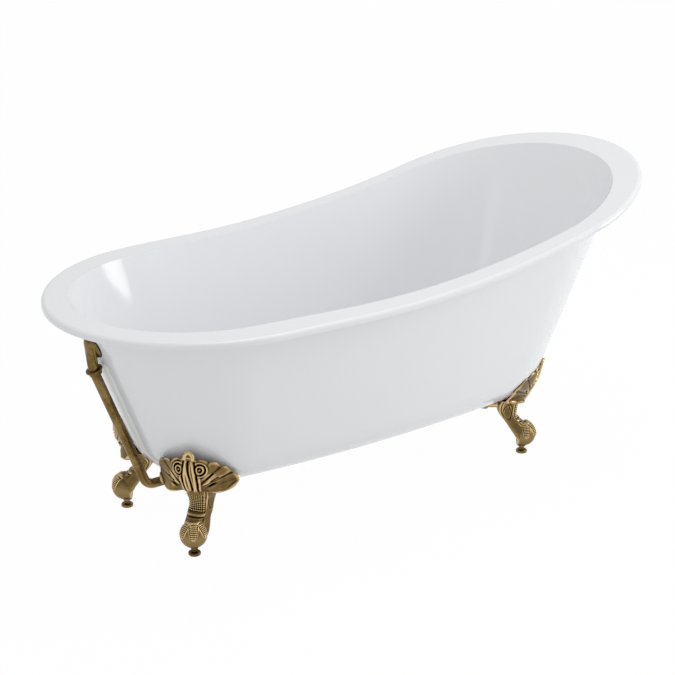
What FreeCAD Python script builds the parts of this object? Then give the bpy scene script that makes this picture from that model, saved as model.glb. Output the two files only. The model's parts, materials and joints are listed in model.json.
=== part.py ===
import FreeCAD, Part
import math
import os
import Sketcher
from FreeCAD import Placement, Rotation, Vector

# Slipper bath on claw feet.  Origin: floor level under the middle of the rim's length and width.
# +Z up, +X toward the high back rest, the waste and overflow at -X.  Lengths in millimetres.

doc = FreeCAD.newDocument("clawfoot_bathtub")
sheet = doc.addObject("Spreadsheet::Sheet", "Sizes")

SIZES = {
    # rim outline seen from above, and the slipper line of its top seen from the side
    "rim_length": 1549.0,
    "rim_width": 762.0,
    "rim_end_radius": 370.0,
    "rim_saddle_height": 558.9,
    "rim_thickness": 14.4,
    "rim_roll_radius": 9.5,
    "rim_lip_width": 9.0,
    "rim_plate": 6.4,
    "droop_start_x": -310.0,
    "droop_radius": 7200.0,
    "rise_start_x": -260.0,
    "rise_radius": 2850.0,
    "rise_angle": 15.2,
    # bowl: its plan at the underside, the lean of its walls, the belly
    "bowl_base_height": 134.0,
    "bowl_low_end_x": -564.0,
    "bowl_high_end_x": 485.0,
    "bowl_half_width": 207.6,
    "bowl_belly_x": -26.0,
    "low_end_lean": 0.3906,
    "high_end_lean": 0.3834,
    "side_lean": 0.2836,
    "low_end_break": 82.5,
    "high_end_break": 84.5,
    "floor_fall": 0.01525,
    "bowl_corner_radius": 118.0,
    "wall": 8.0,
    "bowl_top_height": 765.0,
    # feet
    "foot_low_x": -554.4,
    "foot_high_x": 408.2,
    "foot_side_y": 152.5,
    "foot_turn": 55.0,
    "foot_seat_gap": 0.3,
    "leaf_middle_depth": 41.0,
    "leaf_wing_depth": 7.0,
    "leaf_wing_reach": 82.0,
    "leaf_root": 45.0,
    "leaf_edge_thickness": 2.5,
    "leaf_groove": 3.5,
    "ball_radius": 33.5,
    "ball_centre_height": 51.0,
    "ball_forward": 2.5,
    "ball_flat_height": 22.0,
    "toe_sink": 5.5,
    "boss_inset": 98.0,
    "boss_radius": 16.0,
    "boss_drop": 8.0,
    "tongue_thickness": 10.0,
    "tongue_half_width": 19.0,
    "tongue_root": 20.0,
    # bolts that hold the feet
    "bolt_radius": 5.0,
    "bolt_grip_depth": 9.0,
    "bolt_head_height": 6.4,
    "bolt_head_radius": 9.8,
    "washer_radius": 11.5,
    "washer_thickness": 2.0,
    "hole_clearance": 0.5,
    "thread_fit": 0.05,
    # levelling feet
    "pad_radius": 14.0,
    "pad_height": 8.0,
    "pad_socket_depth": 5.0,
    "screw_radius": 5.0,
    "screw_top_height": 52.0,
    "screw_hole_spare": 10.0,
    "screw_hex_radius": 8.0,
    "screw_hex_height": 3.5,
    "screw_hex_gap": 0.4,
    "jam_nut_radius": 9.8,
    "jam_nut_height": 5.0,
    # overflow on the low end wall
    "overflow_height": 474.0,
    "overflow_hole_radius": 17.0,
    "overflow_flange_radius": 27.0,
    "overflow_flange_thickness": 3.5,
    "overflow_gasket_thickness": 3.0,
    "overflow_spot_depth": 1.6,
    "overflow_plate_radius": 34.0,
    "overflow_plate_thickness": 3.0,
    "overflow_plate_hole_radius": 3.6,
    "overflow_plate_hole_circle": 10.5,
    "overflow_plate_bevel": 1.8,
    "overflow_seal_thickness": 1.5,
    "overflow_bridge_width": 7.0,
    "overflow_screw_radius": 3.0,
    "overflow_screw_head": 6.0,
    "overflow_screw_crown": 4.6,
    "pipe_radius": 11.0,
    "pipe_wall": 1.2,
    "pipe_wall_offset": 23.0,
    "pipe_bend_radius": 27.0,
    "pipe_low_height": 119.0,
    "elbow_drop": 58.0,
    "elbow_end_radius": 12.5,
    "elbow_wall": 2.6,
    "elbow_mouth_depth": 5.0,
    "collar_radius": 19.0,
    "collar_neck_radius": 14.6,
    "collar_ring_height": 7.0,
    "collar_length": 15.0,
    "collar_overlap": 9.0,
    "slip_fit": 0.05,
    # waste under the bowl
    "drain_x": -440.0,
    "drain_seat_radius": 36.0,
    "drain_seat_height": 141.5,
    "drain_spot_height": 136.5,
    "drain_flange_radius": 34.0,
    "drain_flange_thickness": 3.0,
    "drain_flange_bevel": 1.5,
    "drain_seal_thickness": 1.0,
    "drain_bore_radius": 19.0,
    "drain_tail_radius": 22.0,
    "drain_tail_bottom": 125.0,
    "drain_hub_radius": 7.0,
    "drain_bar_width": 3.0,
    "drain_bar_height": 5.0,
    "waste_gasket_thickness": 3.0,
    "waste_flange_radius": 33.0,
    "waste_flange_thickness": 4.0,
    "waste_body_radius": 26.5,
    "waste_body_bottom": 98.0,
    "waste_body_floor": 5.0,
    "waste_outlet_radius": 19.05,
    "waste_outlet_bore": 17.0,
    "waste_outlet_bottom": 66.0,
    "waste_inlet_reach": 42.0,
    "waste_inlet_radius": 13.0,
    "waste_inlet_bore": 9.5,
    "waste_socket_depth": 14.0,
    "waste_nut_radius": 15.2,
    "waste_nut_length": 16.0,
    "waste_nut_overlap": 6.0,
    "plug_radius": 27.0,
    "plug_thickness": 4.5,
    "plug_seal_thickness": 1.5,
    "plug_seal_inset": 1.2,
    "plug_stem_radius": 4.0,
    "plug_stem_bottom": 118.0,
}


class Size:
    """A length and the spreadsheet formula that gives it."""

    def __init__(self, value, formula):
        self.value = value
        self.formula = formula

    def join(self, other, sign, value):
        text = other.formula if isinstance(other, Size) else str(other)
        return Size(value, f"({self.formula} {sign} {text})")

    def __add__(self, other):
        return self.join(other, "+", self.value + amount(other))

    def __sub__(self, other):
        return self.join(other, "-", self.value - amount(other))

    def __mul__(self, other):
        return self.join(other, "*", self.value * amount(other))


def amount(size):
    return size.value if isinstance(size, Size) else float(size)


for row, (alias, value) in enumerate(SIZES.items(), start=1):
    sheet.set(f"A{row}", alias)
    sheet.set(f"B{row}", str(value))
    sheet.setAlias(f"B{row}", alias)
doc.recompute()


def size(alias):
    return Size(float(sheet.get(alias)), f"Sizes.{alias}")


def num(alias):
    return float(sheet.get(alias))


def bind(feature, prop, length):
    """Sets a property and ties it to the spreadsheet."""
    feature.setExpression(prop, length.formula)


def place(feature, x, y, z, rotation=None):
    """Puts a sub-part at a point whose coordinates are sizes or plain numbers."""
    turn = rotation if rotation else Rotation()
    feature.Placement = Placement(Vector(amount(x), amount(y), amount(z)), turn)
    for axis, coordinate in (("x", x), ("y", y), ("z", z)):
        if isinstance(coordinate, Size):
            feature.setExpression(f"Placement.Base.{axis}", coordinate.formula)


# ---------------------------------------------------------------- generic pieces

ZERO = 0.0
UP = Vector(0, 0, 1)

# how far a cutter runs past what it cuts
CLEAR = 60.0


def upright(radius, low, high):
    """A round block on the waste's axis, between two heights."""
    return Part.makeCylinder(radius, high - low, Vector(num("drain_x"), 0, low), UP)


def origin_plane(body, role):
    return next(item for item in body.Origin.OriginFeatures if item.Role == role)


def profile_sketch(body, name, points):
    """A closed outline in the body's XZ plane; every corner is held by its radius and height."""
    sketch = body.newObject("Sketcher::SketchObject", name)
    sketch.AttachmentSupport = [(origin_plane(body, "XZ_Plane"), "")]
    sketch.MapMode = "FlatFace"
    corners = [Vector(amount(r), amount(z), 0) for r, z in points]
    count = len(corners)
    for i in range(count):
        sketch.addGeometry(Part.LineSegment(corners[i], corners[(i + 1) % count]), False)
    for i in range(count):
        sketch.addConstraint(Sketcher.Constraint("Coincident", i, 2, (i + 1) % count, 1))
    for i, (r, z) in enumerate(points):
        for kind, axis, length in (("DistanceX", -2, r), ("DistanceY", -1, z)):
            if amount(length) == 0.0:
                sketch.addConstraint(Sketcher.Constraint("PointOnObject", i, 1, axis))
                continue
            index = sketch.addConstraint(Sketcher.Constraint(kind, i, 1, amount(length)))
            if isinstance(length, Size):
                sketch.setExpression(f"Constraints[{index}]", length.formula)
    return sketch


def turned(label, points):
    """A round piece: an outline of (radius, height) corners turned about Z."""
    body = doc.addObject("PartDesign::Body", label)
    sketch = profile_sketch(body, f"{label}_profile", points)
    spin = body.newObject("PartDesign::Revolution", f"{label}_turn")
    spin.Profile = sketch
    spin.ReferenceAxis = (sketch, ["V_Axis"])
    spin.Angle = 360.0
    return body


def ring_points(inner, outer, height):
    return [(inner, ZERO), (outer, ZERO), (outer, height), (inner, height)]


def hex_nut(label, radius, bore, height):
    """A hexagonal nut from its corner radius, bore radius and height."""
    prism = doc.addObject("Part::Prism", f"{label}_hexagon")
    prism.Polygon = 6
    bind(prism, "Circumradius", radius)
    bind(prism, "Height", height)
    hole = doc.addObject("Part::Cylinder", f"{label}_bore")
    bind(hole, "Radius", bore)
    bind(hole, "Height", height)
    nut = doc.addObject("Part::Cut", label)
    nut.Base = prism
    nut.Tool = hole
    return nut


def hex_bolt(label, shank, length, head, head_height):
    """A hexagonal bolt, head down and shank up."""
    prism = doc.addObject("Part::Prism", f"{label}_head")
    prism.Polygon = 6
    bind(prism, "Circumradius", head)
    bind(prism, "Height", head_height)
    rod = doc.addObject("Part::Cylinder", f"{label}_shank")
    bind(rod, "Radius", shank)
    bind(rod, "Height", head_height + length)
    bolt = doc.addObject("Part::Fuse", label)
    bolt.Base = prism
    bolt.Tool = rod
    return bolt


def shaped(label, shape, placement=None):
    """A cast or formed piece whose shape is built with the shape functions."""
    feature = doc.addObject("Part::Feature", label)
    if placement is None:
        feature.Shape = shape
        return feature
    feature.Shape = shape.transformed(placement.inverse().toMatrix(), True)
    feature.Placement = placement
    return feature


# ---------------------------------------------------------------- bowl and rim

BIG = 4.0 * num("rim_length")


def arc(centre, radius, start, end, z):
    """An arc about a centre in plan, from one angle to another in degrees."""
    angles = [math.radians(a) for a in (start, (start + end) / 2.0, end)]
    ends = [Vector(centre[0] + radius * math.cos(a), centre[1] + radius * math.sin(a), z) for a in angles]
    return Part.Arc(*ends).toShape()


def side_radius(half_length, half_width, end_radius):
    """Radius of the long side arc that runs on smoothly from the end arc."""
    to_centre = half_length - end_radius
    return (to_centre**2 + half_width**2 - end_radius**2) / (2.0 * (half_width - end_radius))


def oval(low_x, high_x, middle_x, half_width, low_radius, high_radius, z):
    """A tub's plan outline: an arc round each end and two long arcs along each side."""
    low_side = side_radius(middle_x - low_x, half_width, low_radius)
    high_side = side_radius(high_x - middle_x, half_width, high_radius)
    low_turn = math.degrees(math.atan2(low_side - half_width, middle_x - low_x - low_radius))
    high_turn = math.degrees(math.atan2(high_side - half_width, high_x - middle_x - high_radius))
    low_centre = (low_x + low_radius, 0.0)
    high_centre = (high_x - high_radius, 0.0)
    edges = [
        arc(high_centre, high_radius, -high_turn, high_turn, z),
        arc((middle_x, half_width - high_side), high_side, high_turn, 90.0, z),
        arc((middle_x, half_width - low_side), low_side, 90.0, 180.0 - low_turn, z),
        arc(low_centre, low_radius, 180.0 - low_turn, 180.0 + low_turn, z),
        arc((middle_x, low_side - half_width), low_side, 180.0 + low_turn, 270.0, z),
        arc((middle_x, high_side - half_width), high_side, 270.0, 360.0 - high_turn, z),
    ]
    return Part.Wire(edges)


def end_radius(half_length, half_width, break_angle):
    """The end radius that puts the joint of end arc and side arc at a given angle."""
    sine = math.sin(math.radians(break_angle))
    cosine = math.cos(math.radians(break_angle))
    return half_width - (half_length - half_width) * (1.0 - sine) / (cosine + sine - 1.0)


def bowl_outline(z, grow):
    """The bowl's level outline at a height, grown outward by a distance."""
    rise = z - num("bowl_base_height")
    low_x = num("bowl_low_end_x") - num("low_end_lean") * rise - grow
    high_x = num("bowl_high_end_x") + num("high_end_lean") * rise + grow
    middle_x = num("bowl_belly_x")
    half_width = num("bowl_half_width") + num("side_lean") * rise + grow
    low_radius = end_radius(middle_x - low_x, half_width, num("low_end_break"))
    high_radius = end_radius(high_x - middle_x, half_width, num("high_end_break"))
    return low_x, high_x, middle_x, half_width, low_radius, high_radius


def underside_height(x, grow=0.0):
    """Height of the bowl's outer floor, which falls toward the waste."""
    return num("bowl_base_height") + (x - num("bowl_low_end_x")) * num("floor_fall") - grow


def under_floor(grow):
    """Everything below the plane of the bowl's underside, which is moved down by a distance."""
    below = Part.makeBox(BIG, BIG, BIG, Vector(-BIG / 2.0, -BIG / 2.0, -BIG))
    fall = Rotation(Vector(0, 1, 0), -math.degrees(math.atan(num("floor_fall"))))
    below.Placement = Placement(Vector(0, 0, underside_height(0.0, grow)), fall)
    return below


def bowl_form(grow):
    """The whole bowl as a solid block, grown outward by a distance, with its rounded floor edge."""
    bottom = num("bowl_base_height") - 3.0 * num("wall")
    top = num("bowl_top_height")
    rings = [oval(*bowl_outline(z, grow), z) for z in (bottom, top)]
    block = Part.makeLoft(rings, True, True).cut(under_floor(grow))
    floor_edge = [
        edge
        for edge in block.Edges
        if all(abs(v.Z - underside_height(v.X, grow)) < 0.5 for v in edge.Vertexes)
    ]
    return block.makeFillet(num("bowl_corner_radius") + grow, floor_edge)


def slipper_line(drop):
    """The rim's top line seen from the side, moved down by a distance and run past both ends."""
    level = num("rim_saddle_height") - drop
    reach = num("rim_length")
    angle = math.radians(num("rise_angle"))
    radius = num("rise_radius")
    droop = num("droop_radius")
    droop_x = num("droop_start_x")
    rise_x = num("rise_start_x")
    low_x = -num("rim_length") / 2.0 - 40.0
    dip = [droop_x + (low_x - droop_x) * k for k in (1.0, 0.5)]
    low = [Vector(x, 0, level - droop + math.sqrt(droop**2 - (x - droop_x) ** 2)) for x in dip]
    bend = [
        Vector(rise_x + radius * math.sin(a), 0, level + radius * (1.0 - math.cos(a)))
        for a in (angle / 2.0, angle)
    ]
    flat = [Vector(droop_x, 0, level), Vector(rise_x, 0, level)]
    far = bend[1] + Vector(math.cos(angle), 0, math.sin(angle)) * reach
    return [
        Part.Arc(low[0], low[1], flat[0]).toShape(),
        Part.LineSegment(flat[0], flat[1]).toShape(),
        Part.Arc(flat[1], bend[0], bend[1]).toShape(),
        Part.LineSegment(bend[1], far).toShape(),
    ]


def under_slipper(drop):
    """Everything below the rim's top line, moved down by a distance."""
    line = slipper_line(drop)
    start = line[0].Vertexes[0].Point
    end = line[-1].Vertexes[-1].Point
    floor = [Vector(end.x, 0, -10.0), Vector(start.x, 0, -10.0)]
    path = [end] + floor + [start]
    closing = [Part.LineSegment(a, b).toShape() for a, b in zip(path, path[1:])]
    face = Part.Face(Part.Wire(line + closing))
    face.translate(Vector(0, -num("rim_width"), 0))
    return face.extrude(Vector(0, 2.0 * num("rim_width"), 0))


def rim_prism(inset):
    """A tall block with the rim's plan outline, drawn in by a distance."""
    half_length = num("rim_length") / 2.0 - inset
    half_width = num("rim_width") / 2.0 - inset
    radius = num("rim_end_radius") - inset
    wire = oval(-half_length, half_length, 0.0, half_width, radius, radius, 0.0)
    return Part.Face(wire).extrude(Vector(0, 0, num("bowl_top_height") * 1.5))


def outer_edges(shape, inset, height_of):
    """Edges that lie on the rim's outline at a given height above the floor."""
    picked = []
    wall = rim_prism(inset)
    side = [face for face in wall.Faces if abs(face.normalAt(0, 0).z) < 0.5]
    skin = Part.makeShell(side)
    for edge in shape.Edges:
        middle = edge.valueAt((edge.FirstParameter + edge.LastParameter) / 2.0)
        near = skin.distToShape(Part.Vertex(middle))[0]
        if near < 0.05 and abs(middle.z - height_of(middle.x)) < 0.5:
            picked.append(edge)
    return picked


def slipper_height(x):
    """Height of the rim's top at a place along the bath."""
    level = num("rim_saddle_height")
    angle = math.radians(num("rise_angle"))
    radius = num("rise_radius")
    end_x = num("rise_start_x") + radius * math.sin(angle)
    if x < num("droop_start_x"):
        droop = num("droop_radius")
        return level - droop + math.sqrt(droop**2 - (x - num("droop_start_x")) ** 2)
    if x < num("rise_start_x"):
        return level
    if x < end_x:
        return level + radius - math.sqrt(radius**2 - (x - num("rise_start_x")) ** 2)
    return level + radius * (1.0 - math.cos(angle)) + (x - end_x) * math.tan(angle)


def rim_solid():
    """The rolled rim: a flange with a rounded outer edge and a turned-down lip."""
    slab = under_slipper(0.0).cut(under_slipper(num("rim_thickness")))
    rim = rim_prism(0.0).common(slab)
    rim = rim.makeFillet(num("rim_roll_radius"), outer_edges(rim, 0.0, slipper_height))
    hollow = under_slipper(num("rim_plate")).cut(under_slipper(2.0 * num("rim_thickness")))
    return rim.cut(rim_prism(num("rim_lip_width")).common(hollow))


WALL_NORMAL = Vector(-1.0, 0.0, -num("low_end_lean")).normalize()
UP_WALL = Vector(-num("low_end_lean"), 0.0, 1.0).normalize()
OVERFLOW_TURN = Rotation(UP, WALL_NORMAL)

# the wall's inner face and the overflow gasket's outer face, as distances out from the wall
INNER_FACE = -num("wall") * abs(WALL_NORMAL.x)
GASKET_FACE = num("overflow_gasket_thickness") - num("overflow_spot_depth")


def low_wall_x(z):
    return num("bowl_low_end_x") - num("low_end_lean") * (z - num("bowl_base_height"))


OVERFLOW_POINT = Vector(low_wall_x(num("overflow_height")), 0.0, num("overflow_height"))


def off_wall(out, down=0.0):
    """A point by the overflow, a distance out from the wall and down along it."""
    return OVERFLOW_POINT + WALL_NORMAL * out - UP_WALL * down


def bore_out(radius, start, end):
    """A round cutter along the overflow's axis, between two distances out from the wall."""
    return Part.makeCylinder(radius, end - start, off_wall(start), WALL_NORMAL)


class FootPlace:
    """Where one foot stands: outward direction, place of its pad, and side of the bath."""

    def __init__(self, name, end_x, side):
        self.name = name
        self.side = side
        turn = math.radians(num("foot_turn"))
        self.end = 1.0 if end_x > 0 else -1.0
        self.pad = Vector(end_x, -num("foot_side_y"), 0.0)
        self.out = Vector(self.end * math.sin(turn), -math.cos(turn), 0.0)
        self.across = Vector(-self.out.y, self.out.x, 0.0)

    def at(self, out, across, z):
        """A point on the near side's foot, from distances out, across and up."""
        return self.pad + self.out * out + self.across * across + Vector(0, 0, z)

    def mirrored(self, shape):
        """The near side's shape, or its mirror image for the far side."""
        return shape if self.side < 0 else shape.mirror(Vector(0, 0, 0), Vector(0, 1, 0))

    def own(self, point):
        return point if self.side < 0 else Vector(point.x, -point.y, point.z)


FEET = [
    FootPlace("low_near", num("foot_low_x"), -1),
    FootPlace("low_far", num("foot_low_x"), 1),
    FootPlace("high_near", num("foot_high_x"), -1),
    FootPlace("high_far", num("foot_high_x"), 1),
]


def boss_height(foot):
    """Height of the level face that a foot's tongue is bolted to."""
    return underside_height(foot.at(-num("boss_inset"), 0.0, 0.0).x) - num("boss_drop")


def boss_point(foot):
    return foot.own(foot.at(-num("boss_inset"), 0.0, boss_height(foot)))


def tub_shell():
    """The enamelled bowl with its rim, foot bosses, overflow hole and waste hole."""
    body = bowl_form(0.0).common(under_slipper(num("rim_plate") / 2.0))
    body = body.fuse(rim_solid())
    for foot in FEET:
        face = boss_point(foot)
        depth = underside_height(face.x) - face.z + num("wall") / 2.0
        body = body.fuse(Part.makeCylinder(num("boss_radius"), depth, face, UP))
    body = body.cut(bowl_form(-num("wall"))).removeSplitter()
    for foot in FEET:
        thread = num("bolt_radius") + num("thread_fit")
        depth = num("bolt_grip_depth") + 1.0
        body = body.cut(Part.makeCylinder(thread, depth, boss_point(foot), UP))
    seat = num("drain_seat_height")
    spot = num("drain_spot_height")
    body = body.cut(upright(num("drain_seat_radius"), seat, seat + CLEAR))
    body = body.cut(upright(num("drain_seat_radius"), spot - CLEAR, spot))
    body = body.cut(upright(num("drain_tail_radius") + num("hole_clearance"), spot - CLEAR, seat + CLEAR))
    body = body.cut(bore_out(num("overflow_hole_radius"), -CLEAR, CLEAR))
    body = body.cut(bore_out(num("overflow_flange_radius") + 1.0, -num("overflow_spot_depth"), CLEAR))
    return body.cut(bore_out(num("overflow_plate_radius") + 1.0, INNER_FACE - CLEAR, INNER_FACE))


# ---------------------------------------------------------------- claw feet

def inside_bowl(point, grow):
    """Whether a point lies inside the bowl's outline at its height."""
    low_x, high_x, middle_x, half_width, low_radius, high_radius = bowl_outline(point.z, grow)
    if point.x < middle_x:
        reach, radius = middle_x - low_x, low_radius
    else:
        reach, radius = high_x - middle_x, high_radius
    along, across = abs(point.x - middle_x), abs(point.y)
    side = side_radius(reach, half_width, radius)
    turn = math.atan2(side - half_width, reach - radius)
    if math.atan2(across + side - half_width, along) < turn:
        return math.hypot(along - reach + radius, across) < radius
    return math.hypot(along, across + side - half_width) < side


# the rounded floor edge's height and its draw-in, as shares of its radius and of that height
ROUND_HEIGHT_SHARE = 0.62
ROUND_INSET_SHARE = 0.72


def corner_inset(foot, z):
    """How far the rounded floor edge draws the bowl in below its straight wall, at one foot."""
    height = z - underside_height(foot.pad.x)
    round_height = num("bowl_corner_radius") * ROUND_HEIGHT_SHARE
    if height > round_height:
        return 0.0
    return ROUND_INSET_SHARE * (round_height - math.sqrt(round_height**2 - (round_height - height) ** 2))


def wall_reach(foot, across, z):
    """Distance out from the pad's axis to the bowl's outer wall, at a place on the leaf."""
    near, far = -220.0, 160.0
    for _ in range(24):
        middle = (near + far) / 2.0
        if inside_bowl(foot.at(middle, across, z), -corner_inset(foot, z)):
            near = middle
        else:
            far = middle
    return near


def ring(middle, first, second, radius, sides):
    """Corners of a regular ring, laid out along two directions that are square to each other."""
    turns = [2.0 * math.pi * (k + 0.5) / sides for k in range(sides)]
    return [middle + (first * math.cos(a) + second * math.sin(a)) * radius for a in turns]


def skinned(rings):
    """A solid skinned with ruled faces through rings that have as many corners each."""
    return Part.makeLoft([Part.makePolygon(corners + [corners[0]]) for corners in rings], True, True)


def ridge(points, radii, aside, sides):
    """A tapering ridge through points in a plane, which is square to the direction aside."""
    rings = []
    for i, (point, radius) in enumerate(zip(points, radii)):
        along = points[min(i + 1, len(points) - 1)] - points[max(i - 1, 0)]
        rings.append(ring(point, along.cross(aside).normalize(), aside, radius, sides))
    return skinned(rings)


# leg: (height, back and front out from the pad's axis, half width, front and back corner)
LEG = (
    (36.0, -12.0, 18.0, 17.0, 8.0, 6.0),
    (52.0, -21.0, 20.0, 21.0, 9.0, 7.0),
    (68.0, -32.0, 14.0, 24.0, 10.0, 8.0),
    (82.0, -41.0, 2.0, 25.5, 11.0, 8.0),
    (94.0, -49.0, -13.0, 26.0, 11.0, 7.0),
    (104.0, -56.0, -17.0, 26.0, 10.0, 6.0),
    (113.0, -62.0, -16.0, 27.0, 10.0, 6.0),
    (121.0, -66.0, -11.0, 28.0, 10.0, 7.0),
)

# knee: the same, with heights measured from the bowl's underside
KNEE = (
    (0.0, -56.0, -4.0, 31.0, 11.0, 9.0),
    (16.0, -46.0, 4.0, 33.0, 12.0, 10.0),
)

# ball: its bands' edges in degrees above its middle
BALL_BANDS = (-62.0, -40.0, -20.0, 0.0, 20.0, 40.0, 60.0, 80.0)
BALL_SIDES = 16

# toes: turn from straight ahead in degrees, and the swell of each knuckle down the toe
TOES = (-68.0, 0.0, 68.0)
TOE_RISE = (62.0, 36.0, 10.0, -16.0, -42.0)
TOE_RADII = (9.0, 7.4, 8.4, 6.6, 3.0)
TOE_SIDES = 6

# leaf: (share of the wing's reach, foot above the bowl's underside, height of the top, groove's share)
LEAF = (
    (0.0, 7.0, 252.0, 1.0),
    (0.12, 5.0, 250.0, 0.0),
    (0.25, 2.0, 246.0, 1.0),
    (0.38, 3.0, 245.0, 0.0),
    (0.5, 7.0, 240.0, 1.0),
    (0.62, 12.0, 239.0, 0.0),
    (0.75, 18.0, 231.0, 1.0),
    (0.88, 27.0, 227.0, 0.0),
    (1.0, 36.0, 206.0, 0.0),
)

# the leaf's swell off the wall: (share of its height, share of its depth)
LEAF_SWELL = ((0.0, 1.15), (0.18, 1.2), (0.45, 1.05), (0.72, 0.68), (0.9, 0.25), (1.0, 0.0))


def leg_section(foot, z, back, front, half_width, front_corner, back_corner):
    """A level section of the leg: a block with its four corners cut at 45 degrees."""
    half = [
        (front, half_width - front_corner),
        (front - front_corner, half_width),
        (back + back_corner, half_width),
        (back, half_width - back_corner),
    ]
    corners = half + [(out, -across) for out, across in reversed(half)]
    return [foot.at(out, across, z) for out, across in corners]


def leaf_section(foot, share, low, high, groove):
    """An upright section of the leaf, swollen off the wall in front and rooted inside it behind."""
    across = share * num("leaf_wing_reach")
    fall = math.cos(math.pi / 2.0 * abs(share))
    depth = num("leaf_wing_depth") + (num("leaf_middle_depth") - num("leaf_wing_depth")) * fall
    depth -= groove * num("leaf_groove")
    corners = []
    for rise, swell in LEAF_SWELL:
        z = low + (high - low) * rise
        held = 1.0 if rise > 0.0 else 1.0 - abs(share)
        stand_off = num("leaf_edge_thickness") + depth * swell * held
        corners.append(foot.at(wall_reach(foot, across, z) + stand_off, across, z))
    for z in (high, low):
        corners.append(foot.at(wall_reach(foot, across, z) - num("leaf_root"), across, z))
    return corners


def claw_foot(foot):
    """One cast foot: ball and claw, S-shaped leg, leaf against the bowl, tongue under the floor."""
    base = underside_height(foot.pad.x)
    levels = list(LEG) + [(base + row[0],) + row[1:] for row in KNEE]
    solid = skinned([leg_section(foot, *row) for row in levels])
    centre = foot.at(num("ball_forward"), 0.0, num("ball_centre_height"))
    bands = []
    for rise in BALL_BANDS:
        angle = math.radians(rise)
        middle = centre + UP * (num("ball_radius") * math.sin(angle))
        bands.append(ring(middle, foot.out, foot.across, num("ball_radius") * math.cos(angle), BALL_SIDES))
    solid = solid.fuse(skinned(bands))
    toe_path = num("ball_radius") - num("toe_sink")
    for turn in TOES:
        ahead = foot.out * math.cos(math.radians(turn)) + foot.across * math.sin(math.radians(turn))
        angles = [math.radians(rise) for rise in TOE_RISE]
        points = [centre + (ahead * math.cos(a) + UP * math.sin(a)) * toe_path for a in angles]
        solid = solid.fuse(ridge(points, TOE_RADII, ahead.cross(UP), TOE_SIDES))
    far_side = [(-share, low, high, groove) for share, low, high, groove in reversed(LEAF[1:])]
    rows = far_side + list(LEAF)
    leaf = skinned([leaf_section(foot, share, base + low, high, groove) for share, low, high, groove in rows])
    solid = solid.fuse(leaf)
    solid = solid.cut(bowl_form(num("foot_seat_gap")))
    tongue_top = boss_height(foot)
    around_boss = num("boss_radius") + num("foot_seat_gap")
    boss = foot.at(-num("boss_inset"), 0.0, tongue_top)
    solid = solid.cut(Part.makeCylinder(around_boss, CLEAR, boss, UP))
    half_width = num("tongue_half_width")
    reach = num("boss_inset") + half_width - num("tongue_root")
    tongue = Part.makeBox(reach, 2.0 * half_width, num("tongue_thickness"))
    turn = Rotation(Vector(1, 0, 0), -foot.out)
    root = foot.at(-num("tongue_root"), 0.0, tongue_top - num("tongue_thickness"))
    tongue.Placement = Placement(root - turn.multVec(Vector(0, half_width, 0)), turn)
    solid = solid.fuse(tongue)
    hole = num("bolt_radius") + num("hole_clearance")
    under = foot.at(-num("boss_inset"), 0.0, tongue_top - CLEAR / 2.0)
    solid = solid.cut(Part.makeCylinder(hole, CLEAR, under, UP))
    solid = solid.cut(Part.makeCylinder(CLEAR, num("ball_flat_height"), foot.pad, UP))
    thread = num("screw_radius") + num("thread_fit")
    depth = num("screw_top_height") + num("screw_hole_spare")
    return solid.cut(Part.makeCylinder(thread, depth, foot.pad, UP))


shaped("tub_shell", tub_shell())

for foot in FEET:
    if foot.side < 0:
        cast = claw_foot(foot)
    shaped(f"claw_foot_{foot.name}", foot.mirrored(cast), Placement(foot.own(foot.pad), Rotation()))

# ---------------------------------------------------------------- foot bolts and levelling feet


def levelling_pad(label):
    """The round pad under a foot, with a socket for the screw's end."""
    radius, height = size("pad_radius"), size("pad_height")
    socket = size("screw_radius") + size("thread_fit")
    floor = height - size("pad_socket_depth")
    return turned(
        label,
        [
            (ZERO, ZERO),
            (radius, ZERO),
            (radius, height),
            (socket, height),
            (socket, floor),
            (ZERO, floor),
        ],
    )


def levelling_screw(label):
    """A levelling screw with a hexagon just above the pad."""
    rod = doc.addObject("Part::Cylinder", f"{label}_rod")
    bind(rod, "Radius", size("screw_radius"))
    bind(rod, "Height", size("screw_top_height") - size("pad_height") + size("pad_socket_depth"))
    grip = doc.addObject("Part::Prism", f"{label}_hexagon")
    grip.Polygon = 6
    bind(grip, "Circumradius", size("screw_hex_radius"))
    bind(grip, "Height", size("screw_hex_height"))
    place(grip, ZERO, ZERO, size("pad_socket_depth") + size("screw_hex_gap"))
    screw = doc.addObject("Part::Fuse", label)
    screw.Base = rod
    screw.Tool = grip
    return screw


for foot in FEET:
    x = size("foot_low_x") if foot.end < 0 else size("foot_high_x")
    y = size("foot_side_y") if foot.side > 0 else size("foot_side_y") * -1.0
    place(levelling_pad(f"levelling_pad_{foot.name}"), x, y, ZERO)
    socket_floor = size("pad_height") - size("pad_socket_depth")
    place(levelling_screw(f"levelling_screw_{foot.name}"), x, y, socket_floor)
    nut = hex_nut(
        f"jam_nut_{foot.name}",
        size("jam_nut_radius"),
        size("screw_radius") + size("thread_fit"),
        size("jam_nut_height"),
    )
    place(nut, x, y, size("ball_flat_height") - size("jam_nut_height"))
    face = boss_point(foot)
    under_tongue = face.z - num("tongue_thickness")
    bolt_hole = size("bolt_radius") + size("hole_clearance")
    washer = turned(
        f"foot_washer_{foot.name}",
        ring_points(bolt_hole, size("washer_radius"), size("washer_thickness")),
    )
    place(washer, face.x, face.y, under_tongue - num("washer_thickness"))
    bolt = hex_bolt(
        f"foot_bolt_{foot.name}",
        size("bolt_radius"),
        size("washer_thickness") + size("tongue_thickness") + size("bolt_grip_depth"),
        size("bolt_head_radius"),
        size("bolt_head_height"),
    )
    place(bolt, face.x, face.y, under_tongue - num("washer_thickness") - num("bolt_head_height"))

# ---------------------------------------------------------------- overflow

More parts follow.
